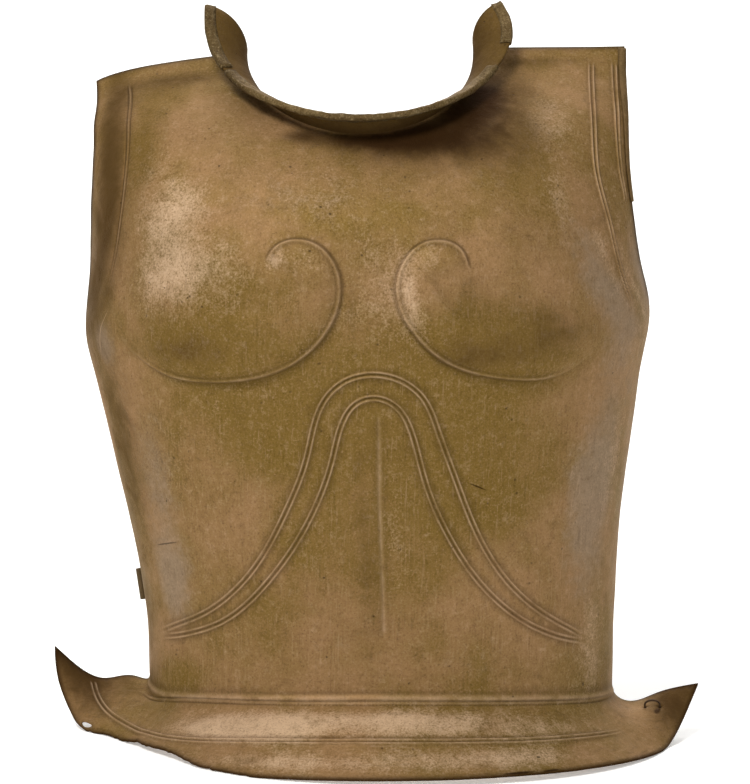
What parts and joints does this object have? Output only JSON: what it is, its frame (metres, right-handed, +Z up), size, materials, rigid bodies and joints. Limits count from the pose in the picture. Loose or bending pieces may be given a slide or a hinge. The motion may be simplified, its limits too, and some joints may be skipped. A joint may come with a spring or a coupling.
{
  "type": "bronze muscle cuirass",
  "caption": "Hammered bronze front plate of a bell-shaped muscle cuirass with flared rim, raised collar, spiral chest ridges and arched rib lines, standing on its rim.",
  "frame": {"origin": "under the middle of the standing plate's bounding box, on the surface it stands on", "axes": "+Z up, the chest faces -Y, the open side towards the absent back plate faces +Y, +X to the viewer's right in the picture"},
  "size_m": [0.4154, 0.1916, 0.4676],
  "materials": {
    "hammered_bronze": "mottled olive-brown patina on hammered sheet bronze, satin",
    "worn_bronze_edge": "granular light bronze, worn",
    "dark_bronze_edge": "dark brown patina",
    "dark_hinge_bronze": "dark brown patina",
    "iron_wire": "dark corroded wire"
  },
  "bodies": {
    "root": {"breastplate": "hammered_bronze", "collar_edge_left": "worn_bronze_edge", "collar_edge_front": "worn_bronze_edge", "collar_edge_right": "worn_bronze_edge", "arm_edge_strip": "dark_bronze_edge", "hinge_knuckle": "dark_hinge_bronze", "wire_staple": "iron_wire"}
  },
  "joints": []
}
